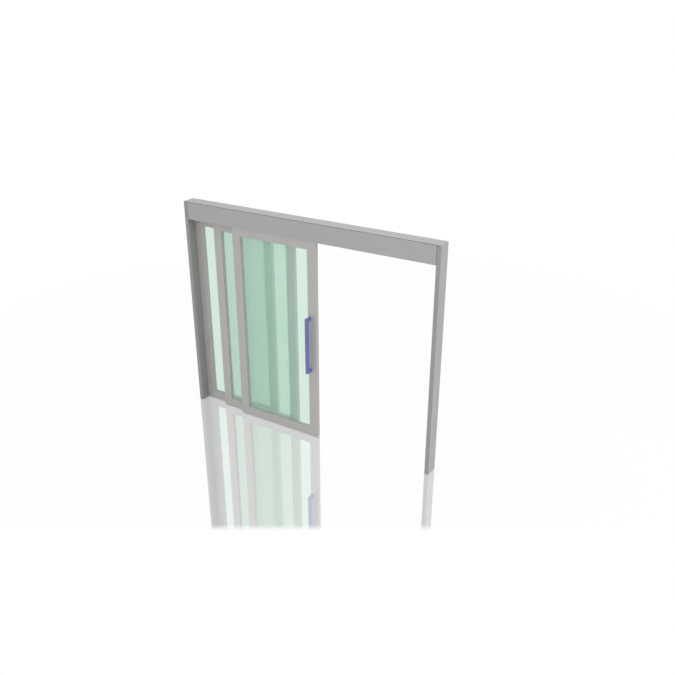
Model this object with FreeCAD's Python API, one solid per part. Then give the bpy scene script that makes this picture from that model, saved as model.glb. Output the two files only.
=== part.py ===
import FreeCAD, Part
import os

# Three-panel telescoping glass sliding door, in millimetres.
# The origin is the middle of the underside of the left jamb's foot.
# X runs along the door to the right, Y runs to the back, Z is up.

# Opening frame
overall_width = 3048.0
overall_height = 2438.4
jamb_width = 44.45
jamb_wall = 3.2
foot_thickness = 5.0

# Anchor holes in the jambs, one row up the middle of each
anchor_count = 4
anchor_radius = 4.25
anchor_end_distance = 200.0

# Header box between the jambs
header_height = 195.2
top_plate_thickness = 3.0
back_plate_thickness = 2.0
fascia_thickness = 2.5
shadow_gap = 3.0
beam_height = 50.0
beam_wall = 3.0
end_plate_thickness = 6.0

# Tracks, box sections with a slot below
track_width = 40.0
track_height = 46.0
track_wall = 3.2
track_slot = 14.0

# Panels
panel_width = 1052.0
fixed_panel_width = 1033.0
panel_thickness = 44.0
stile_width = 101.6
top_rail_height = 101.6
bottom_rail_height = 94.6
frame_wall = 3.0
panel_rise = 14.4
bottom_clearance = 7.0

# Glass, and the rubber that holds it
glass_thickness = 6.35
gasket_thickness = 3.3
gasket_lip = 3.0
glass_bite = 10.0
glazing_groove_depth = 15.0

# Clearances and travel
running_clearance = 5.0
panel_gap = 5.2
fixed_fit = 0.5
seat_gap = 0.3
lead_rest_travel = 594.0
middle_travel_share = 0.5

# Guide groove under the panels, and the guides that run in it
guide_groove_width = 12.0
guide_groove_depth = 22.0
guide_length = 18.0
guide_plate_thickness = 1.5
guide_blade_thickness = 8.0
guide_blade_height = 21.0

# Hangers, four wheels each
hanger_offset = 110.0
hanger_base_length = 100.0
hanger_base_width = 36.0
hanger_base_thickness = 6.0
hanger_bolt_radius = 6.0
hanger_block_length = 30.0
hanger_block_width = 18.0
hanger_block_height = 25.0
hanger_block_drop = 20.0
hanger_blade_length = 64.0
hanger_blade_thickness = 6.0
wheel_radius = 14.0
wheel_width = 9.0
wheel_side_gap = 1.0
wheel_spacing = 44.0
axle_radius = 4.0
axle_overhang = 1.5
blade_above_axle = 9.0

# Door pull on the lead panel
pull_section = 31.75
pull_length = 628.0
pull_bottom = 799.0
pull_projection = 75.0
pull_inset = 6.5
pull_edge_radius = 2.0

# Places that follow from the sizes above
frame_depth = (
    fascia_thickness + running_clearance + 3 * panel_thickness
    + 2 * panel_gap + fixed_fit + back_plate_thickness
)
x_left = -jamb_width / 2
x_right = x_left + overall_width
x_open_left = x_left + jamb_width
x_open_right = x_right - jamb_width
y_front = -frame_depth / 2
y_back = frame_depth / 2
y_plate = y_back - back_plate_thickness
y_fascia_back = y_front + fascia_thickness
z_plate = overall_height - top_plate_thickness
z_header = overall_height - header_height
z_beam = z_plate - beam_height
z_track = z_beam - track_height
panel_top = z_header + panel_rise
track_pitch = panel_thickness + panel_gap
lead_y = y_fascia_back + running_clearance
middle_y = lead_y + track_pitch
fixed_y = middle_y + track_pitch
open_stop = x_open_left + running_clearance
closed_stop = x_open_right - running_clearance - panel_width
lead_x = open_stop + lead_rest_travel
middle_x = open_stop + middle_travel_share * lead_rest_travel
fixed_x = x_open_left
glazing_groove_width = glass_thickness + 2 * gasket_thickness
trolley_reach = wheel_spacing / 2 + wheel_radius


def box(x0, x1, y0, y1, z0, z1):
    """A block between two corners."""
    return Part.makeBox(x1 - x0, y1 - y0, z1 - z0, FreeCAD.Vector(x0, y0, z0))


def tube(x0, x1, y0, y1, z0, z1, wall, axis):
    """A rectangular hollow section, open at both ends along its axis."""
    hollow = {
        "x": (x0, x1, y0 + wall, y1 - wall, z0 + wall, z1 - wall),
        "z": (x0 + wall, x1 - wall, y0 + wall, y1 - wall, z0, z1),
    }
    return box(x0, x1, y0, y1, z0, z1).cut(box(*hollow[axis]))


def save(shape, name):
    """Write one sub-part."""
    clean = shape.removeSplitter()
    clean.exportStep("parts/" + name + ".step")


def jamb(x0):
    """A full-height hollow jamb with anchor holes through both broad faces."""
    shape = tube(x0, x0 + jamb_width, y_front, y_back, foot_thickness, z_plate, jamb_wall, "z")
    step = (overall_height - 2 * anchor_end_distance) / (anchor_count - 1)
    for number in range(anchor_count):
        height = anchor_end_distance + number * step
        hole = Part.makeCylinder(
            anchor_radius, jamb_width, FreeCAD.Vector(x0, 0, height), FreeCAD.Vector(1, 0, 0)
        )
        shape = shape.cut(hole)
    return shape


def foot(x0):
    """The plate that closes the underside of a jamb."""
    return box(x0, x0 + jamb_width, y_front, y_back, 0, foot_thickness)


def end_plate(x0):
    """The plate that carries the track ends on a jamb."""
    return box(x0, x0 + end_plate_thickness, y_fascia_back, fixed_y, z_track, z_beam)


def track(panel_y):
    """A box track over one panel, slotted below for the hangers."""
    middle = panel_y + panel_thickness / 2
    x0 = x_open_left + end_plate_thickness
    x1 = x_open_right - end_plate_thickness
    shape = tube(
        x0, x1, middle - track_width / 2, middle + track_width / 2, z_track, z_beam, track_wall, "x"
    )
    slot = box(
        x0, x1, middle - track_slot / 2, middle + track_slot / 2, z_track, z_track + track_wall
    )
    return shape.cut(slot)


def track_stops(panel_y, last_x):
    """Two buffers in a track, where the hangers end their travel."""
    middle = panel_y + panel_thickness / 2
    half = track_width / 2 - track_wall
    first = x_open_left + end_plate_thickness
    left_end = open_stop + hanger_offset - trolley_reach - running_clearance
    right_start = last_x + panel_width - hanger_offset + trolley_reach + running_clearance
    length = left_end - first
    z0 = z_track + track_wall
    z1 = z_beam - track_wall
    left = box(first, left_end, middle - half, middle + half, z0, z1)
    right = box(right_start, right_start + length, middle - half, middle + half, z0, z1)
    return Part.makeCompound([left, right])


def stile(x0, y0, groove_on_right):
    """An upright of a panel: hollow, with the glazing groove on one edge."""
    y1 = y0 + panel_thickness
    middle = y0 + panel_thickness / 2
    x1 = x0 + stile_width
    solid = box(x0, x1, y0, y1, bottom_clearance, panel_top)
    groove_half = glazing_groove_width / 2
    if groove_on_right:
        groove_x = (x1 - glazing_groove_depth, x1)
        hollow_x = (x0 + frame_wall, x1 - glazing_groove_depth - frame_wall)
    else:
        groove_x = (x0, x0 + glazing_groove_depth)
        hollow_x = (x0 + glazing_groove_depth + frame_wall, x1 - frame_wall)
    groove = box(*groove_x, middle - groove_half, middle + groove_half, bottom_clearance, panel_top)
    hollow = box(*hollow_x, y0 + frame_wall, y1 - frame_wall, bottom_clearance, panel_top)
    guide_half = guide_groove_width / 2
    notch_top = bottom_clearance + guide_groove_depth
    notch = box(x0, x1, middle - guide_half, middle + guide_half, bottom_clearance, notch_top)
    return solid.cut(groove).cut(hollow).cut(notch)


def rail(x0, width, y0, z0, height, groove_up, guide_groove):
    """A cross rail between the stiles, hollow, with the glazing groove on one edge."""
    x_start = x0 + stile_width
    x_end = x0 + width - stile_width
    y1 = y0 + panel_thickness
    z1 = z0 + height
    middle = y0 + panel_thickness / 2
    groove_half = glazing_groove_width / 2
    guide_half = guide_groove_width / 2
    solid = box(x_start, x_end, y0, y1, z0, z1)
    hollow_bottom = z0 + frame_wall
    hollow_top = z1 - frame_wall
    if groove_up:
        groove_z = (z1 - glazing_groove_depth, z1)
        hollow_top -= glazing_groove_depth
    else:
        groove_z = (z0, z0 + glazing_groove_depth)
        hollow_bottom += glazing_groove_depth
    if guide_groove:
        hollow_bottom += guide_groove_depth
        guide_top = z0 + guide_groove_depth
        solid = solid.cut(box(x_start, x_end, middle - guide_half, middle + guide_half, z0, guide_top))
    groove = box(x_start, x_end, middle - groove_half, middle + groove_half, *groove_z)
    hollow = box(x_start, x_end, y0 + frame_wall, y1 - frame_wall, hollow_bottom, hollow_top)
    return solid.cut(groove).cut(hollow)


def glazing(x0, width, y0):
    """The glass sheet of a panel, and the rubber frames on its two faces."""
    sight = (
        x0 + stile_width,
        x0 + width - stile_width,
        bottom_clearance + bottom_rail_height,
        panel_top - top_rail_height,
    )
    middle = y0 + panel_thickness / 2
    glass_front = middle - glass_thickness / 2
    glass_back = middle + glass_thickness / 2

    def sheet(grow, y_from, y_to):
        return box(sight[0] - grow, sight[1] + grow, y_from, y_to, sight[2] - grow, sight[3] + grow)

    glass = sheet(glass_bite, glass_front, glass_back)
    frames = []
    for y_from, y_to in (
        (glass_front - gasket_thickness, glass_front),
        (glass_back, glass_back + gasket_thickness),
    ):
        frames.append(sheet(glass_bite, y_from, y_to).cut(sheet(-gasket_lip, y_from, y_to)))
    return glass, Part.makeCompound(frames)


def save_panel(name, x0, width, y0):
    """Write the pieces of one framed glass panel."""
    save(stile(x0, y0, True), name + "_left_stile")
    save(stile(x0 + width - stile_width, y0, False), name + "_right_stile")
    top_z = panel_top - top_rail_height
    save(rail(x0, width, y0, top_z, top_rail_height, False, False), name + "_top_rail")
    save(
        rail(x0, width, y0, bottom_clearance, bottom_rail_height, True, True),
        name + "_bottom_rail",
    )
    glass, gasket = glazing(x0, width, y0)
    save(glass, name + "_glass")
    save(gasket, name + "_gasket")


def wheel_places(centre_x, panel_y):
    """The inner face of each wheel of one trolley, and the way it looks out."""
    middle = panel_y + panel_thickness / 2
    offset = hanger_blade_thickness / 2 + wheel_side_gap
    for side_x in (-1, 1):
        for side_y in (-1, 1):
            place = FreeCAD.Vector(
                centre_x + side_x * wheel_spacing / 2,
                middle + side_y * offset,
                z_track + track_wall + seat_gap + wheel_radius,
            )
            yield place, FreeCAD.Vector(0, side_y, 0)


def hanger(centre_x, panel_y):
    """The bracket, bolt, blade and axles that hang a panel from its track."""
    middle = panel_y + panel_thickness / 2
    axle_z = z_track + track_wall + seat_gap + wheel_radius
    block_top = z_track - hanger_block_drop
    block_bottom = block_top - hanger_block_height
    base_top = panel_top + hanger_base_thickness

    def centred(length, depth, z0, z1):
        return box(
            centre_x - length / 2, centre_x + length / 2, middle - depth / 2, middle + depth / 2, z0, z1
        )

    shape = centred(hanger_base_length, hanger_base_width, panel_top, base_top)
    bolt = Part.makeCylinder(
        hanger_bolt_radius, block_bottom - base_top, FreeCAD.Vector(centre_x, middle, base_top)
    )
    block = centred(hanger_block_length, hanger_block_width, block_bottom, block_top)
    blade = centred(
        hanger_blade_length, hanger_blade_thickness, block_bottom, axle_z + blade_above_axle
    )
    shape = shape.fuse([bolt, block, blade])
    reach = hanger_blade_thickness / 2 + wheel_side_gap + wheel_width + axle_overhang
    for side in (-1, 1):
        axle_x = centre_x + side * wheel_spacing / 2
        axle = Part.makeCylinder(
            axle_radius, 2 * reach, FreeCAD.Vector(axle_x, middle - reach, axle_z), FreeCAD.Vector(0, 1, 0)
        )
        shape = shape.fuse(axle)
    return shape


def wheels(centres, panel_y):
    """The wheels of a panel's trolleys."""
    found = []
    for centre_x in centres:
        for place, way in wheel_places(centre_x, panel_y):
            disc = Part.makeCylinder(wheel_radius, wheel_width, place, way)
            bore = Part.makeCylinder(axle_radius + seat_gap, wheel_width, place, way)
            found.append(disc.cut(bore))
    return Part.makeCompound(found)


def guide(end_x, carrier_y, guided_y):
    """A guide under a panel's right end, its blade up in the next panel's groove."""
    x0 = end_x - guide_length
    carrier_middle = carrier_y + panel_thickness / 2
    guided_middle = guided_y + panel_thickness / 2
    half = guide_blade_thickness / 2
    plate_top = bottom_clearance - running_clearance
    plate_bottom = plate_top - guide_plate_thickness
    carrier_back = carrier_middle + panel_thickness / 2 - frame_wall
    carrier_front = carrier_middle - panel_thickness / 2 + frame_wall
    plate = box(x0, end_x, guided_middle - half, carrier_back, plate_bottom, plate_top)
    pad = box(x0, end_x, carrier_front, carrier_back, plate_top, bottom_clearance)
    blade = box(
        x0, end_x, guided_middle - half, guided_middle + half, plate_top, plate_top + guide_blade_height
    )
    return plate.fuse([pad, blade])


def save_mover(name, x0, y0, last_x):
    """Write a sliding panel with its hangers, wheels and track."""
    save_panel(name, x0, panel_width, y0)
    centres = (x0 + hanger_offset, x0 + panel_width - hanger_offset)
    save(hanger(centres[0], y0), name + "_hanger_left")
    save(hanger(centres[1], y0), name + "_hanger_right")
    save(wheels(centres, y0), name + "_rollers")
    save(track(y0), name + "_track")
    save(track_stops(y0, last_x), name + "_track_stops")


def save_pull():
    """Write the square D pull: a grip on two posts."""
    x0 = lead_x + panel_width - stile_width + pull_inset
    x1 = x0 + pull_section
    grip_front = lead_y - pull_projection
    grip_back = grip_front + pull_section
    top = pull_bottom + pull_length
    grip = box(x0, x1, grip_front, grip_back, pull_bottom, top)
    upright = [edge for edge in grip.Edges if abs(edge.tangentAt(edge.FirstParameter).z) > 0.5]
    save(grip.makeFillet(pull_edge_radius, upright), "pull_grip")
    for name, z0 in (("pull_post_bottom", pull_bottom), ("pull_post_top", top - pull_section)):
        post = box(x0, x1, grip_back, lead_y, z0, z0 + pull_section)
        along = [edge for edge in post.Edges if abs(edge.tangentAt(edge.FirstParameter).y) > 0.5]
        save(post.makeFillet(pull_edge_radius, along), name)


os.makedirs("parts", exist_ok=True)

# Jambs and their feet
save(jamb(x_left), "left_jamb")
save(jamb(x_open_right), "right_jamb")
save(foot(x_left), "left_jamb_foot")
save(foot(x_open_right), "right_jamb_foot")

# Header box
save(box(x_left, x_right, y_front, y_back, z_plate, overall_height), "header_top_plate")
save(box(x_open_left, x_open_right, y_plate, y_back, z_header, z_plate), "header_back_plate")
save(
    box(
        x_open_left + shadow_gap, x_open_right - shadow_gap,
        y_front, y_fascia_back, z_header, z_plate - shadow_gap,
    ),
    "header_fascia",
)
save(
    tube(x_open_left, x_open_right, y_fascia_back, y_plate, z_beam, z_plate, beam_wall, "x"),
    "header_beam",
)
save(end_plate(x_open_left), "header_end_left")
save(end_plate(x_open_right - end_plate_thickness), "header_end_right")

# Fixed panel, its filler up to the beam, and the guide it carries
save_panel("fixed", fixed_x, fixed_panel_width, fixed_y)
save(
    tube(
        fixed_x, fixed_x + fixed_panel_width,
        fixed_y + frame_wall, fixed_y + panel_thickness - frame_wall,
        panel_top, z_beam, frame_wall, "x",
    ),
    "fixed_head_filler",
)
save(guide(fixed_x + fixed_panel_width, fixed_y, middle_y), "middle_guide")

# Sliding panels; the middle panel moves half as far as the lead panel
save_mover("middle", middle_x, middle_y, open_stop + middle_travel_share * (closed_stop - open_stop))
save(guide(middle_x + panel_width, middle_y, lead_y), "lead_guide")
save_mover("lead", lead_x, lead_y, closed_stop)
save_pull()
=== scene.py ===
# %% [markdown]
# A three-panel telescoping glass door, dressed for a render.
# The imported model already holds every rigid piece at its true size, so this script adds only what
# a drawing of sections leaves out: the finish of each metal, the tint of the glass, the rubber
# bead round the cover, and the anchors, screws, caps and nuts. Loading the frame comes first,
# because every later piece is placed in it.

# %% Load the frame
import math
import bmesh
import bpy
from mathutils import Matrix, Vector


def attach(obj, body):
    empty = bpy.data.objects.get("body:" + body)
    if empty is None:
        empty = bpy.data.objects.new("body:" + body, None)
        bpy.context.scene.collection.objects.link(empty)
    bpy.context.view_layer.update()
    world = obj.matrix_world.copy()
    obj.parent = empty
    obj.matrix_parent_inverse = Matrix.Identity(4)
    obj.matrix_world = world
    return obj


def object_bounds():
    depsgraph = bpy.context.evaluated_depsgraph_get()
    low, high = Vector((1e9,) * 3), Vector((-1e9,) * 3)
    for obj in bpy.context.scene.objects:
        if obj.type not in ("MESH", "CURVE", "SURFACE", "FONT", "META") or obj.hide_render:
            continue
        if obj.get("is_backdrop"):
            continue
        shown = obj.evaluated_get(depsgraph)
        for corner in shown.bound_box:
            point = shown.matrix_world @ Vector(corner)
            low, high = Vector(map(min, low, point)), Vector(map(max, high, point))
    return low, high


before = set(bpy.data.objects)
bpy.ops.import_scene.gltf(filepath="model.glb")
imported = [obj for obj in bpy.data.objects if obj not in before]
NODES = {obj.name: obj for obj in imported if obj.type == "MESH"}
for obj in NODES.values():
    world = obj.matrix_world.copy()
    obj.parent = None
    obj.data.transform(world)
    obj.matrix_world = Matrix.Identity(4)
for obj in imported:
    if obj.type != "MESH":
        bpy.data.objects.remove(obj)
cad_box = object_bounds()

MM = 0.001

# %% [markdown]
# The camera stands where the photograph was taken from: high, well to the right, looking down
# along the header. Its place and lens were solved from the straight edges of the frame, so the
# picture lines up edge for edge. A long lens is a number on the camera; no shift is needed.

# %% Camera
CAMERA_PLACE = (5.6239, -6.0366, 4.4509)
CAMERA_AZIMUTH = 31.743
CAMERA_ELEVATION = 24.330
CAMERA_LENS = 40.16
SENSOR_WIDTH = 36.0


def make_camera():
    data = bpy.data.cameras.new("photo_camera")
    data.lens = CAMERA_LENS
    data.sensor_width = SENSOR_WIDTH
    camera = bpy.data.objects.new("photo_camera", data)
    bpy.context.collection.objects.link(camera)
    camera.location = CAMERA_PLACE
    tilt = math.radians(90 - CAMERA_ELEVATION)
    camera.rotation_euler = (tilt, 0, math.radians(CAMERA_AZIMUTH))
    bpy.context.scene.camera = camera
    return camera


camera = make_camera()
print("camera at", tuple(camera.location))

# %% [markdown]
# Node trees are long to write by hand, so small helpers add a node, start a material, mix two
# shaders, stretch a value, vary a colour and add bumps. Every material below is then a few
# readable lines.

# %% Node helpers


def add_node(tree, kind, **values):
    """A node of that kind, with inputs set by name and other fields set as attributes."""
    node = tree.nodes.new(kind)
    for key, value in values.items():
        if hasattr(node, key):
            setattr(node, key, value)
        else:
            node.inputs[key.replace("_", " ")].default_value = value
    return node


def new_material(name):
    """An empty material and its node tree, with an output node."""
    material = bpy.data.materials.new(name)
    material.use_nodes = True
    tree = material.node_tree
    tree.nodes.clear()
    output = add_node(tree, "ShaderNodeOutputMaterial")
    return material, tree, output


def mix_shaders(tree, factor, first, second):
    """A Mix Shader of two outputs, its factor a number or an output."""
    mix = add_node(tree, "ShaderNodeMixShader")
    if isinstance(factor, float):
        mix.inputs[0].default_value = factor
    else:
        tree.links.new(factor, mix.inputs[0])
    tree.links.new(first, mix.inputs[1])
    tree.links.new(second, mix.inputs[2])
    return mix.outputs["Shader"]


def ramp(tree, source, low, high):
    """A value from 0 to 1 stretched to run from low to high."""
    node = add_node(tree, "ShaderNodeMapRange")
    node.inputs["To Min"].default_value = low
    node.inputs["To Max"].default_value = high
    tree.links.new(source, node.inputs["Value"])
    return node.outputs["Result"]


def two_tints(tree, source, colour, spread):
    """A colour that runs from a little darker to a little lighter as the source goes 0 to 1."""
    tint = add_node(tree, "ShaderNodeMix", data_type="RGBA")
    tint.inputs["A"].default_value = [c * (1 - spread) for c in colour] + [1]
    tint.inputs["B"].default_value = [min(1.0, c * (1 + spread)) for c in colour] + [1]
    tree.links.new(source, tint.inputs["Factor"])
    return tint.outputs["Result"]


def add_relief(tree, source, depth, strength, shader):
    """Small bumps on a shader, as high as the source says."""
    relief = add_node(tree, "ShaderNodeBump", Distance=depth, Strength=strength)
    tree.links.new(source, relief.inputs["Height"])
    tree.links.new(relief.outputs["Normal"], shader.inputs["Normal"])


# %% [markdown]
# Satin anodised aluminium is extruded, so its faint lines run along the length of each bar.
# Noise stretched along one axis gives those lines; a second, larger noise gives the slow cloudy
# change that an anodising bath leaves. Both drive colour and roughness, and the lines give a very
# small bump. The faces of the jambs that go against the wall get a paler grey, which is painted
# light: it stands in for the brighter light that falls on one of them, more than these lamps give.
# They are the only faces that far from the middle of the door, so one comparison picks them out.

# %% Anodised aluminium
GRAIN_ACROSS = 900.0
GRAIN_ALONG = 6.0
GRAIN_SHARE = 0.35
CLOUD_SCALE = 2.2
CLOUD_SHARE = 0.65
COLOUR_SPREAD = 0.06
GLOSS_SPREAD = 0.06
GRAIN_DEPTH = 0.00004
GRAIN_STRENGTH = 0.5
DOOR_MIDDLE_X = 1.501775
WALL_FACE_REACH = 1.5235


def wall_face_painted_light_mask(tree, place):
    """1 on the faces of the jambs that go against the wall, where light is painted, else 0."""
    parts = add_node(tree, "ShaderNodeSeparateXYZ")
    tree.links.new(place, parts.inputs["Vector"])
    away = add_node(tree, "ShaderNodeMath", operation="SUBTRACT")
    tree.links.new(parts.outputs["X"], away.inputs[0])
    away.inputs[1].default_value = DOOR_MIDDLE_X
    size = add_node(tree, "ShaderNodeMath", operation="ABSOLUTE")
    tree.links.new(away.outputs["Value"], size.inputs[0])
    past = add_node(tree, "ShaderNodeMath", operation="GREATER_THAN")
    tree.links.new(size.outputs["Value"], past.inputs[0])
    past.inputs[1].default_value = WALL_FACE_REACH
    return past.outputs["Value"]


def anodised(name, colour, direction, roughness=0.42, metallic=0.2, painted_light_colour=None):
    """Metal with its grain along x, y or z, with painted light on the wall faces if a colour is
    given.
    """
    material, tree, output = new_material(name)
    links = tree.links
    shader = add_node(tree, "ShaderNodeBsdfPrincipled", Metallic=metallic)
    place = add_node(tree, "ShaderNodeTexCoord").outputs["Object"]
    stretch = add_node(tree, "ShaderNodeMapping")
    scale = [GRAIN_ACROSS] * 3
    scale["xyz".index(direction)] = GRAIN_ALONG
    stretch.inputs["Scale"].default_value = scale
    links.new(place, stretch.inputs["Vector"])
    grain = add_node(tree, "ShaderNodeTexNoise", Scale=1.0, Detail=3.0)
    links.new(stretch.outputs["Vector"], grain.inputs["Vector"])
    cloud = add_node(tree, "ShaderNodeTexNoise", Scale=CLOUD_SCALE, Detail=4.0)
    links.new(place, cloud.inputs["Vector"])
    both = add_node(tree, "ShaderNodeMath", operation="MULTIPLY_ADD")
    both.inputs[1].default_value = GRAIN_SHARE
    links.new(grain.outputs["Fac"], both.inputs[0])
    links.new(ramp(tree, cloud.outputs["Fac"], 0.0, CLOUD_SHARE), both.inputs[2])
    shown = two_tints(tree, both.outputs["Value"], colour, COLOUR_SPREAD)
    # Painted light: the wall faces of the jambs take a paler grey that stands in for light falling
    # there.
    if painted_light_colour:
        painted_light = add_node(tree, "ShaderNodeMix", data_type="RGBA")
        links.new(wall_face_painted_light_mask(tree, place), painted_light.inputs["Factor"])
        links.new(shown, painted_light.inputs["A"])
        painted_light.inputs["B"].default_value = [*painted_light_colour, 1]
        shown = painted_light.outputs["Result"]
    links.new(shown, shader.inputs["Base Color"])
    gloss = ramp(tree, both.outputs["Value"], roughness - GLOSS_SPREAD, roughness + GLOSS_SPREAD)
    links.new(gloss, shader.inputs["Roughness"])
    add_relief(tree, grain.outputs["Fac"], GRAIN_DEPTH, GRAIN_STRENGTH, shader)
    links.new(shader.outputs["BSDF"], output.inputs["Surface"])
    return material


JAMB_GREY = (0.315, 0.32, 0.315)
# Paler grey painted on the wall faces of the jambs, standing in for light.
PAINTED_LIGHT_GREY = (0.39, 0.395, 0.39)
HEADER_GREY = (0.41, 0.41, 0.41)
PANEL_GREY = (0.475, 0.465, 0.455)
TRACK_GREY = (0.55, 0.55, 0.56)

jamb_metal = anodised("jamb_anodised", JAMB_GREY, "z", painted_light_colour=PAINTED_LIGHT_GREY)
header_metal = anodised("header_anodised", HEADER_GREY, "x")
stile_metal = anodised("stile_anodised", PANEL_GREY, "z")
rail_metal = anodised("rail_anodised", PANEL_GREY, "x")
track_metal = anodised("track_mill_finish", TRACK_GREY, "x", roughness=0.3, metallic=0.8)
print("metals:", [m.name for m in bpy.data.materials if "anodised" in m.name])

# %% [markdown]
# Thin flat glass barely bends what is behind it, so a tinted Transparent shader is both truer
# and less noisy than a solid block of glass. A ray passes two faces of a pane, so each face has
# the square root of the pane's tint. A share of plain green stands for the light that the dusty
# surface and the glass itself send back. Over it lies a mirror that grows with the slant. Noise
# moves its roughness, as wiping does, and bends it a little, as the rollers of a glass oven do.

# %% Glass
PANE_TINT = (0.815, 0.90, 0.852)
BODY_GREEN = (0.60, 0.85, 0.72)
BODY_SHARE = 0.18
MIRROR_COLOUR = (0.90, 1.0, 0.94)
GLASS_MIRROR = (0.04, 0.19)
LAMP_TINT = (0.92, 0.96, 0.94)
SMEAR_SCALE = 6.0
SMEAR_GLOSS = (0.01, 0.05)
WAVE_SCALE = 2.5
WAVE_DEPTH = 0.0004
WAVE_STRENGTH = 0.3


def pane_glass(name):
    """Thin green glass: clear with a tint, some green of its own, and a mirror over both."""
    material, tree, output = new_material(name)
    clear = add_node(tree, "ShaderNodeBsdfTransparent")
    clear.inputs["Color"].default_value = [math.sqrt(c) for c in PANE_TINT] + [1]
    body = add_node(tree, "ShaderNodeBsdfDiffuse")
    body.inputs["Color"].default_value = [*BODY_GREEN, 1]
    mirror = add_node(tree, "ShaderNodeBsdfGlossy")
    mirror.inputs["Color"].default_value = [*MIRROR_COLOUR, 1]
    place = add_node(tree, "ShaderNodeTexCoord").outputs["Object"]
    smears = add_node(tree, "ShaderNodeTexNoise", Scale=SMEAR_SCALE, Detail=6.0, Roughness=0.65)
    tree.links.new(place, smears.inputs["Vector"])
    tree.links.new(ramp(tree, smears.outputs["Fac"], *SMEAR_GLOSS), mirror.inputs["Roughness"])
    waves = add_node(tree, "ShaderNodeTexNoise", Scale=WAVE_SCALE, Detail=1.0)
    tree.links.new(place, waves.inputs["Vector"])
    add_relief(tree, waves.outputs["Fac"], WAVE_DEPTH, WAVE_STRENGTH, mirror)
    slant = add_node(tree, "ShaderNodeLayerWeight", Blend=0.5).outputs["Facing"]
    tinted = mix_shaders(tree, BODY_SHARE, clear.outputs["BSDF"], body.outputs["BSDF"])
    pane = mix_shaders(tree, ramp(tree, slant, *GLASS_MIRROR), tinted, mirror.outputs["BSDF"])
    bright = add_node(tree, "ShaderNodeBsdfTransparent")
    bright.inputs["Color"].default_value = [*LAMP_TINT, 1]
    path = add_node(tree, "ShaderNodeLightPath")
    whole = mix_shaders(tree, path.outputs["Is Shadow Ray"], pane, bright.outputs["BSDF"])
    tree.links.new(whole, output.inputs["Surface"])
    return material


glass = pane_glass("green_float_glass")
print("glass:", glass.name)

# %% [markdown]
# Rubber, vinyl, powder coat, zinc and nylon are all plain shaders with one fine noise: it breaks
# up the colour a little, moves the roughness and gives small bumps. What sets them apart is how
# fine the noise is, how deep the bumps are and how rough the surface is.

# %% Speckled finishes
SPECKLE_GLOSS = 0.05
SPECKLE_STRENGTH = 0.6


def speckled(name, colour, roughness, scale, depth, spread=0.08, metallic=0.0):
    """A plain finish with one fine noise of the given scale, and bumps of the given depth."""
    material, tree, output = new_material(name)
    links = tree.links
    shader = add_node(tree, "ShaderNodeBsdfPrincipled", Metallic=metallic)
    place = add_node(tree, "ShaderNodeTexCoord").outputs["Object"]
    noise = add_node(tree, "ShaderNodeTexNoise", Scale=scale, Detail=5.0)
    links.new(place, noise.inputs["Vector"])
    shown = two_tints(tree, noise.outputs["Fac"], colour, spread)
    links.new(shown, shader.inputs["Base Color"])
    gloss = ramp(tree, noise.outputs["Fac"], roughness - SPECKLE_GLOSS, roughness + SPECKLE_GLOSS)
    links.new(gloss, shader.inputs["Roughness"])
    add_relief(tree, noise.outputs["Fac"], depth, SPECKLE_STRENGTH, shader)
    links.new(shader.outputs["BSDF"], output.inputs["Surface"])
    return material


rubber = speckled("black_rubber", (0.018, 0.018, 0.018), 0.75, 900.0, 0.00005)
gasket_vinyl = speckled("grey_vinyl", (0.62, 0.64, 0.62), 0.55, 900.0, 0.00004)
pull_blue = speckled("blue_powder_coat", (0.16, 0.18, 0.44), 0.45, 1400.0, 0.00006, spread=0.05)
zinc = speckled("zinc_plated_steel", (0.78, 0.79, 0.80), 0.35, 260.0, 0.00002, metallic=0.5)
nylon = speckled("white_nylon", (0.75, 0.73, 0.68), 0.5, 500.0, 0.00002, spread=0.04)
print("speckled:", [m.name for m in (rubber, gasket_vinyl, pull_blue, zinc, nylon)])

# %% [markdown]
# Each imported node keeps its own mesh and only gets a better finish. A short list of words from
# the names says which finish goes where, so a new panel would be dressed without another line.

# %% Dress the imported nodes
FINISHES = (
    ("_glass", glass),
    ("_gasket", gasket_vinyl),
    ("_track_stops", rubber),
    ("_track", track_metal),
    ("_rollers", nylon),
    ("_hanger_left", zinc),
    ("_hanger_right", zinc),
    ("_guide", zinc),
    ("header_end_left", track_metal),
    ("header_end_right", track_metal),
    ("_stile", stile_metal),
    ("_rail", rail_metal),
    ("_jamb", jamb_metal),
    ("_foot", jamb_metal),
    ("header_", header_metal),
    ("fixed_head_filler", header_metal),
    ("pull_", pull_blue),
)


def finish_of(name):
    """The finish of a node: the first row whose words are in its name."""
    for part, material in FINISHES:
        if part in name:
            return material
    raise ValueError("no finish for " + name)


for name, node in NODES.items():
    for slot in node.material_slots:
        slot.material = finish_of(name)
print("dressed", len(NODES), "nodes")

# %% [markdown]
# The cover of the header comes off to reach the wheels, so it stands a few millimetres clear of
# the plate and jambs round it, and a black rubber bead closes that gap. The bead's black is also
# painted shade, standing in for the shadow in that gap. It is drawn as one curve of points along
# the gap with a half-round section swept round its two mitred corners, which is how such a bead
# is laid. From a distance it is the thin dark line of painted shade along the top of the cover.

# %% Rubber bead round the cover, with painted shade
BEAD_HALF = 0.0014
BEAD_FRONT = -0.0759
BEAD_ROUNDING = 0.0009
BEAD_BACK = -0.0739
BEAD_STEPS = 8
GAP_LEFT = 0.023725
GAP_RIGHT = 2.979825
GAP_TOP = 2.4339
GAP_BOTTOM = 2.2434


def bead_section():
    """Points of a half-round bead: across the gap, and from front to back."""
    points = []
    for step in range(BEAD_STEPS + 1):
        turn = math.pi * step / BEAD_STEPS
        behind = BEAD_ROUNDING * (1 - math.sin(turn))
        points.append((-BEAD_HALF * math.cos(turn), BEAD_FRONT + behind))
    points += [(BEAD_HALF, BEAD_BACK), (-BEAD_HALF, BEAD_BACK)]
    return points


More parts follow.
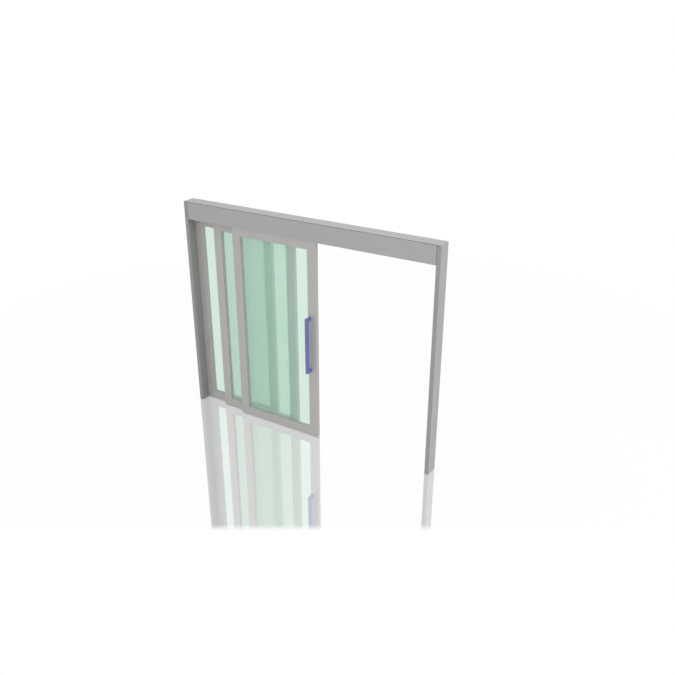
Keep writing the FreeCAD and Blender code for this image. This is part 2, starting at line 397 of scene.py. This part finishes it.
def mitre_at(path, number):
    """The way across a path at one of its points, longer at a corner so that the sides meet."""
    ways = []
    for first, second in ((number - 1, number), (number, number + 1)):
        if first >= 0 and second < len(path):
            along = (Vector(path[second]) - Vector(path[first])).normalized()
            ways.append(Vector((-along.y, along.x)))
    if len(ways) == 1:
        return ways[0]
    return (ways[0] + ways[1]) / (1 + ways[0].dot(ways[1]))


def join_rings(body, first, second):
    """A band of faces between two rings with the same number of points."""
    for here in range(len(first)):
        after = (here + 1) % len(first)
        body.faces.new((first[here], first[after], second[after], second[here]))


def sweep_in_plane(name, path, section, material):
    """Carry a section along a path in the XZ plane, with mitred corners and closed ends."""
    body = bmesh.new()
    rings = []
    for number, (x, z) in enumerate(path):
        mitre = mitre_at(path, number)
        places = [(x + u * mitre.x, y, z + u * mitre.y) for u, y in section]
        rings.append([body.verts.new(place) for place in places])
    for first, second in zip(rings, rings[1:]):
        join_rings(body, first, second)
    body.faces.new(rings[0])
    body.faces.new(list(reversed(rings[-1])))
    return finish_mesh(body, name, material)


def finish_mesh(body, name, material):
    """Turn a bmesh into an object with its faces outward and the given material."""
    bmesh.ops.recalc_face_normals(body, faces=body.faces)
    mesh = bpy.data.meshes.new(name)
    body.to_mesh(mesh)
    body.free()
    mesh.materials.append(material)
    made = bpy.data.objects.new(name, mesh)
    bpy.context.collection.objects.link(made)
    return made


left_side = [(GAP_LEFT, GAP_BOTTOM), (GAP_LEFT, GAP_TOP)]
right_side = [(GAP_RIGHT, GAP_TOP), (GAP_RIGHT, GAP_BOTTOM)]
gap_path = left_side + right_side
# Painted shade: the black bead stands in for the shadow in the gap round the cover.
bead = sweep_in_plane("header_gap_bead", gap_path, bead_section(), rubber)
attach(bead, "root")
print("bead:", len(bead.data.polygons), "faces")

# %% [markdown]
# Every screw, cap and nut on the door is a turned shape: a few rings of points joined by bands.
# A ring may be round, six-lobed for the driver socket, or hexagonal for a nut. One function
# builds them all from a short list of rings, so each fixing is a handful of numbers.

# %% Turned fixings
RING_POINTS = 48
LOBE_DEPTH = 0.14


def ring_radius(radius, kind, angle):
    """The radius of a ring at one angle: round, a six-lobed star or a hexagon."""
    if kind == "star":
        return radius * (1 + LOBE_DEPTH * math.cos(6 * angle))
    if kind == "hexagon":
        sixth = math.radians(60)
        return radius / math.cos((angle % sixth) - sixth / 2)
    return radius


def turned(name, rings, material, ring_shaped=False):
    """A closed turned shape from (radius, height, kind) rings, in millimetres."""
    body = bmesh.new()
    bands = []
    for radius, height, kind in rings:
        band = []
        for number in range(RING_POINTS):
            angle = 2 * math.pi * number / RING_POINTS
            reach = ring_radius(radius, kind, angle) * MM
            place = (reach * math.cos(angle), reach * math.sin(angle), height * MM)
            band.append(body.verts.new(place))
        bands.append(band)
    pairs = list(zip(bands, bands[1:]))
    if ring_shaped:
        pairs.append((bands[-1], bands[0]))
    for first, second in pairs:
        join_rings(body, first, second)
    if not ring_shaped:
        body.faces.new(list(reversed(bands[0])))
        body.faces.new(bands[-1])
    return finish_mesh(body, name, material)


ANCHOR_RINGS = [
    (2.6, -3.4, "star"), (2.6, -1.0, "star"), (3.5, -0.8, "round"), (4.2, -1.2, "round"),
    (4.2, -43.8, "round"), (3.6, -44.4, "round"),
]
COVER_RINGS = [
    (0.8, 1.25, "round"), (2.6, 1.2, "round"), (4.6, 1.05, "round"), (6.4, 0.75, "round"),
    (7.4, 0.4, "round"), (7.6, 0.02, "round"), (4.1, 0.02, "round"), (4.1, -0.7, "round"),
]
CORNER_RINGS = [
    (1.7, -1.6, "star"), (1.7, 0.25, "star"), (2.3, 0.4, "round"), (4.2, 0.3, "round"),
    (4.5, 0.02, "round"), (2.0, 0.02, "round"), (2.0, -2.8, "round"),
]
CAP_RINGS = [
    (2.4, -0.2, "star"), (2.4, 1.5, "star"), (3.2, 1.9, "round"), (5.6, 1.7, "round"),
    (7.4, 1.1, "round"), (8.0, 0.4, "round"), (8.0, 0.02, "round"),
]
NUT_RINGS = [
    (6.05, 0.02, "round"), (6.05, 8.6, "round"), (8.2, 8.6, "round"), (9.0, 8.1, "hexagon"),
    (9.0, 1.9, "hexagon"), (11.0, 1.7, "round"), (12.0, 1.4, "round"), (12.0, 0.02, "round"),
]
anchor_pattern = turned("anchor_pattern", ANCHOR_RINGS, zinc)
cover_pattern = turned("cover_pattern", COVER_RINGS, jamb_metal)
corner_pattern = turned("corner_pattern", CORNER_RINGS, zinc)
cap_pattern = turned("cap_pattern", CAP_RINGS, zinc)
nut_pattern = turned("nut_pattern", NUT_RINGS, zinc, ring_shaped=True)
PATTERNS = (anchor_pattern, cover_pattern, corner_pattern, cap_pattern, nut_pattern)
print("patterns:", [len(p.data.polygons) for p in PATTERNS])

# %% [markdown]
# Fixings repeat, so one node group places them all. It takes loose points that carry the way each
# fixing looks out, sets a pattern on every point, turns it to that way and gives it a random twist,
# because nobody lines up screw slots by hand. The seed is fixed, so each run gives the same door.

# %% A node group that sets fixings
TWIST_SEED = 7
MOST_TWIST = math.radians(60)


def build_fixing_group():
    """Points in, a pattern set and twisted on each of them out."""
    group = bpy.data.node_groups.new("set_fixings", "GeometryNodeTree")
    ports = group.interface
    ports.new_socket("Points", in_out="INPUT", socket_type="NodeSocketGeometry")
    ports.new_socket("Pattern", in_out="INPUT", socket_type="NodeSocketObject")
    ports.new_socket("Finish", in_out="INPUT", socket_type="NodeSocketMaterial")
    ports.new_socket("Twist", in_out="INPUT", socket_type="NodeSocketFloat")
    ports.new_socket("Fixings", in_out="OUTPUT", socket_type="NodeSocketGeometry")
    links = group.links
    given = group.nodes.new("NodeGroupInput")
    result = group.nodes.new("NodeGroupOutput")
    pattern = group.nodes.new("GeometryNodeObjectInfo")
    links.new(given.outputs["Pattern"], pattern.inputs["Object"])
    way = group.nodes.new("GeometryNodeInputNamedAttribute")
    way.data_type = "FLOAT_VECTOR"
    way.inputs["Name"].default_value = "way_out"
    aim = group.nodes.new("FunctionNodeAlignRotationToVector")
    aim.axis = "Z"
    links.new(way.outputs["Attribute"], aim.inputs["Vector"])
    chance = group.nodes.new("FunctionNodeRandomValue")
    chance.data_type = "FLOAT"
    chance.inputs["Seed"].default_value = TWIST_SEED
    # The sockets repeat for each kind of value: input 3 and output 1 are those of a plain number.
    links.new(given.outputs["Twist"], chance.inputs[3])
    twist = group.nodes.new("FunctionNodeAxisAngleToRotation")
    twist.inputs["Axis"].default_value = (0, 0, 1)
    links.new(chance.outputs[1], twist.inputs["Angle"])
    turn = group.nodes.new("FunctionNodeRotateRotation")
    turn.rotation_space = "LOCAL"
    links.new(aim.outputs["Rotation"], turn.inputs["Rotation"])
    links.new(twist.outputs["Rotation"], turn.inputs["Rotate By"])
    place = group.nodes.new("GeometryNodeInstanceOnPoints")
    links.new(given.outputs["Points"], place.inputs["Points"])
    links.new(pattern.outputs["Geometry"], place.inputs["Instance"])
    links.new(turn.outputs["Rotation"], place.inputs["Rotation"])
    real = group.nodes.new("GeometryNodeRealizeInstances")
    links.new(place.outputs["Instances"], real.inputs["Geometry"])
    finish = group.nodes.new("GeometryNodeSetMaterial")
    links.new(real.outputs["Geometry"], finish.inputs["Geometry"])
    links.new(given.outputs["Finish"], finish.inputs["Material"])
    links.new(finish.outputs["Geometry"], result.inputs["Fixings"])
    return group


fixing_group = build_fixing_group()
print("node group:", fixing_group.name, "with", len(fixing_group.nodes), "nodes")


def set_fixings(name, places, pattern, body):
    """Set a pattern at each (point, way out) pair, in millimetres, as one plain mesh."""
    mesh = bpy.data.meshes.new(name + "_points")
    mesh.from_pydata([[c * MM for c in point] for point, way in places], [], [])
    ways = mesh.attributes.new("way_out", "FLOAT_VECTOR", "POINT")
    for number, (point, way) in enumerate(places):
        ways.data[number].vector = way
    host = bpy.data.objects.new(name + "_points", mesh)
    bpy.context.collection.objects.link(host)
    modifier = host.modifiers.new("set_fixings", "NODES")
    modifier.node_group = fixing_group
    values = {"Pattern": pattern, "Finish": pattern.data.materials[0], "Twist": MOST_TWIST}
    for item in fixing_group.interface.items_tree:
        if item.item_type == "SOCKET" and item.name in values:
            modifier[item.identifier] = values[item.name]
    view = bpy.context.evaluated_depsgraph_get()
    plain = bpy.data.meshes.new_from_object(host.evaluated_get(view), depsgraph=view)
    plain.name = name
    host.modifiers.remove(modifier)
    bpy.data.objects.remove(host)
    made = bpy.data.objects.new(name, plain)
    bpy.context.collection.objects.link(made)
    if "way_out" in plain.attributes:
        plain.attributes.remove(plain.attributes["way_out"])
    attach(made, body)
    print(name + ":", len(places), "set,", len(plain.polygons), "faces")


# %% [markdown]
# The jambs are fixed to the wall by long anchors that pass through both broad faces. On the
# opening side a low cap in the jamb's own colour covers each head, and on the wall side the tips
# just show. Their number and places are a guess. One bright speck on the side of the right jamb
# in the photograph may be the top tip, or only noise in the picture.

# %% Jamb anchors
JAMB_FACES = ((22.225, 1), (2981.325, -1))
ANCHOR_HEIGHTS = (200.0, 879.47, 1558.93, 2238.4)
anchor_places = [((x, 0, z), (way, 0, 0)) for x, way in JAMB_FACES for z in ANCHOR_HEIGHTS]
set_fixings("jamb_anchors", anchor_places, anchor_pattern, "root")
set_fixings("jamb_anchor_caps", anchor_places, cover_pattern, "root")

# %% [markdown]
# Each panel's frame is held together at its corners by screws driven through the upright's outer
# edge into the cross rail, two to a corner. The heads are flat, because the panel closes to within
# five millimetres of a jamb. The fixed panel's left edge stands against its jamb and shows none.

# %% Corner screws
SCREW_HEIGHTS = (46.0, 80.0, 2182.0, 2224.0)
PANEL_EDGES = {
    "fixed": ("root", 51.7, ((1055.225, 1),)),
    "middle": ("middle_panel", 2.5, ((324.225, -1), (1376.225, 1))),
    "lead": ("lead_panel", -46.7, ((621.225, -1), (1673.225, 1))),
}
for panel, (body, y, edges) in PANEL_EDGES.items():
    places = [((x, y, z), (way, 0, 0)) for x, way in edges for z in SCREW_HEIGHTS]
    set_fixings(panel + "_corner_screws", places, corner_pattern, body)

# %% [markdown]
# The pull is bolted through the upright from behind, at the middle of each post. The domed heads
# stand two millimetres proud, well inside the gap to the next panel.

# %% Pull bolts
PULL_X = 1593.975
LEAD_BACK = -24.7
POST_MIDDLES = (814.875, 1411.125)
bolt_places = [((PULL_X, LEAD_BACK, z), (0, 1, 0)) for z in POST_MIDDLES]
set_fixings("pull_bolts", bolt_places, cap_pattern, "lead_panel")

# %% [markdown]
# The back plate of the header is screwed to the beam inside it along one line, at even steps, with
# a screw near each end. They are the same screws as in the panel corners.

# %% Header back screws
BACK_SCREWS = 8
BACK_FIRST = 80.0
BACK_LAST = 2923.55
BACK_FACE = 76.2
BACK_HEIGHT = 2410.4
step = (BACK_LAST - BACK_FIRST) / (BACK_SCREWS - 1)
back_rows = [BACK_FIRST + number * step for number in range(BACK_SCREWS)]
back_places = [((x, BACK_FACE, BACK_HEIGHT), (0, 1, 0)) for x in back_rows]
set_fixings("header_back_screws", back_places, corner_pattern, "root")

# %% [markdown]
# A bolt lifts each panel on its trolley, and a flanged nut locks it on the plate it stands in.
# Four screws hold that plate down on the top rail. They sit inside the header, out of the photo's
# sight, and show when the cover is off.

# %% Hanger nuts and screws
PLATE_TOP = 2263.6
SCREWS_ALONG = (-38, 38)
SCREWS_ACROSS = (-10, 10)
HANGERS = {
    "middle": ("middle_panel", 2.5, (434.225, 1266.225)),
    "lead": ("lead_panel", -46.7, (731.225, 1563.225)),
}
for panel, (body, y, centres) in HANGERS.items():
    nuts = [((x, y, PLATE_TOP), (0, 0, 1)) for x in centres]
    set_fixings(panel + "_hanger_nuts", nuts, nut_pattern, body)
    screws = []
    for x in centres:
        for along in SCREWS_ALONG:
            corners = [(x + along, y + across, PLATE_TOP) for across in SCREWS_ACROSS]
            screws += [(corner, (0, 0, 1)) for corner in corners]
    set_fixings(panel + "_hanger_screws", screws, corner_pattern, body)

for pattern in PATTERNS:
    bpy.data.objects.remove(pattern)
print("patterns removed, fixings stay")

# %% [markdown]
# The studio is a pale polished floor under a white world with three soft lamps. The polish ends
# at a straight front edge, set where the reflection in the photograph is cut off, and fades out
# slowly on the other sides, so that the floor runs off without a horizon. Rays from the camera,
# and those that metal and glass send, see white. Every other ray meets an ordinary pale floor,
# which bounces light and takes a shadow. The lamps are several metres wide, because a small one
# would show as a bright square in the glass and in the floor, and a wide one is faint there.

# %% Studio floor
FLOOR_SIZE = 60.0
FLOOR_DROP = 0.0005
FLOOR_PALE = 0.92
FLOOR_GLOSS = 0.02
FLOOR_MIRROR = 0.56
FLOOR_SHADOW = 0.15
POLISH_WAY = (-0.526, 0.850, 0.0)
POLISH_FRONT = (-2.56, -2.43)
POLISH_CENTRE = (1.2, 1.0, 0.0)
POLISH_AROUND = (7.0, 3.2)
WORLD_LIGHT = 0.70
LAMPS = {
    "front_lamp": {"place": (5.2, -5.7, 4.5), "aim": (1.5, 0, 1.2), "size": 7.0, "power": 110},
    "top_lamp": {"place": (2.0, 1.0, 6.5), "aim": (1.5, 0, 1.0), "size": 5.0, "power": 62},
    "right_lamp": {"place": (6.2, 1.8, 2.5), "aim": (3.0, 0, 1.2), "size": 3.2, "power": 24},
}


def seen_rays(tree):
    """1 for rays from the camera, from gloss and through glass, else 0."""
    path = add_node(tree, "ShaderNodeLightPath")
    total = path.outputs["Is Camera Ray"]
    for name in ("Is Glossy Ray", "Is Transmission Ray"):
        either = add_node(tree, "ShaderNodeMath", operation="MAXIMUM")
        tree.links.new(total, either.inputs[0])
        tree.links.new(path.outputs[name], either.inputs[1])
        total = either.outputs["Value"]
    return total


def floor_fade(tree, measure, point, none, full):
    """0 where the measure from the point is `none`, rising softly to 1 where it is `full`."""
    away = add_node(tree, "ShaderNodeVectorMath", operation=measure)
    place = add_node(tree, "ShaderNodeTexCoord").outputs["Object"]
    tree.links.new(place, away.inputs[0])
    away.inputs[1].default_value = point
    fade = add_node(tree, "ShaderNodeMapRange", interpolation_type="SMOOTHSTEP")
    tree.links.new(away.outputs["Value"], fade.inputs["Value"])
    fade.inputs["From Min"].default_value = none
    fade.inputs["From Max"].default_value = full
    return fade.outputs["Result"]


def near_the_door(tree):
    """1 on the polished floor round the door, 0 past its front edge and far away."""
    front = floor_fade(tree, "DOT_PRODUCT", POLISH_WAY, *POLISH_FRONT)
    around = floor_fade(tree, "DISTANCE", POLISH_CENTRE, *POLISH_AROUND)
    both = add_node(tree, "ShaderNodeMath", operation="MULTIPLY")
    tree.links.new(front, both.inputs[0])
    tree.links.new(around, both.inputs[1])
    return both.outputs["Value"]


def make_floor():
    """A pale polished floor just under the feet, marked as a stage."""
    half = FLOOR_SIZE / 2
    mesh = bpy.data.meshes.new("studio_floor")
    corners = [(-half, -half, 0), (half, -half, 0), (half, half, 0), (-half, half, 0)]
    mesh.from_pydata([(x, y, z - FLOOR_DROP) for x, y, z in corners], [], [(0, 1, 2, 3)])
    floor = bpy.data.objects.new("studio_floor", mesh)
    bpy.context.collection.objects.link(floor)
    material, tree, output = new_material("studio_floor")
    pale = add_node(tree, "ShaderNodeBsdfDiffuse")
    pale.inputs["Color"].default_value = (FLOOR_PALE, FLOOR_PALE, FLOOR_PALE, 1)
    white = add_node(tree, "ShaderNodeEmission", Strength=1.0)
    mirror = add_node(tree, "ShaderNodeBsdfGlossy", Roughness=FLOOR_GLOSS)
    mirror.inputs["Color"].default_value = (1, 1, 1, 1)
    shaded = mix_shaders(tree, FLOOR_SHADOW, white.outputs["Emission"], pale.outputs["BSDF"])
    polished = mix_shaders(tree, FLOOR_MIRROR, shaded, mirror.outputs["BSDF"])
    shown = mix_shaders(tree, near_the_door(tree), white.outputs["Emission"], polished)
    whole = mix_shaders(tree, seen_rays(tree), pale.outputs["BSDF"], shown)
    tree.links.new(whole, output.inputs["Surface"])
    mesh.materials.append(material)
    floor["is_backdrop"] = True


def make_world():
    """White where it is seen, and a softer light on everything else."""
    world = bpy.data.worlds.new("studio_world")
    bpy.context.scene.world = world
    world.use_nodes = True
    tree = world.node_tree
    tree.nodes.clear()
    output = add_node(tree, "ShaderNodeOutputWorld")
    light = add_node(tree, "ShaderNodeBackground", Strength=WORLD_LIGHT)
    light.inputs["Color"].default_value = (1, 1, 1, 1)
    shown = add_node(tree, "ShaderNodeBackground", Strength=1.0)
    shown.inputs["Color"].default_value = (1, 1, 1, 1)
    pick = add_node(tree, "ShaderNodeMixShader")
    tree.links.new(seen_rays(tree), pick.inputs[0])
    tree.links.new(light.outputs["Background"], pick.inputs[1])
    tree.links.new(shown.outputs["Background"], pick.inputs[2])
    tree.links.new(pick.outputs["Shader"], output.inputs["Surface"])


def area_lamp(name, place, aim, size, power):
    """A square lamp at a place, turned to face a point."""
    data = bpy.data.lights.new(name, "AREA")
    data.shape = "SQUARE"
    data.size = size
    data.energy = power
    lamp = bpy.data.objects.new(name, data)
    bpy.context.collection.objects.link(lamp)
    lamp.location = place
    way = Vector(aim) - Vector(place)
    lamp.rotation_euler = way.to_track_quat("-Z", "Y").to_euler()


make_floor()
make_world()
for name, values in LAMPS.items():
    area_lamp(name, **values)
bpy.context.scene.view_settings.view_transform = "Standard"
print("studio ready, lamps:", len(bpy.data.lights))

# %% [markdown]
# The last cell prints the box of the dressed door beside the box of the imported model, so that a
# piece that sticks out shows up as a number.

# %% Sizes, and the end
boxes = {"cad": cad_box, "visual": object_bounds()}
for title, box in boxes.items():
    print(title, "box:", [[round(float(c), 4) for c in corner] for corner in box])
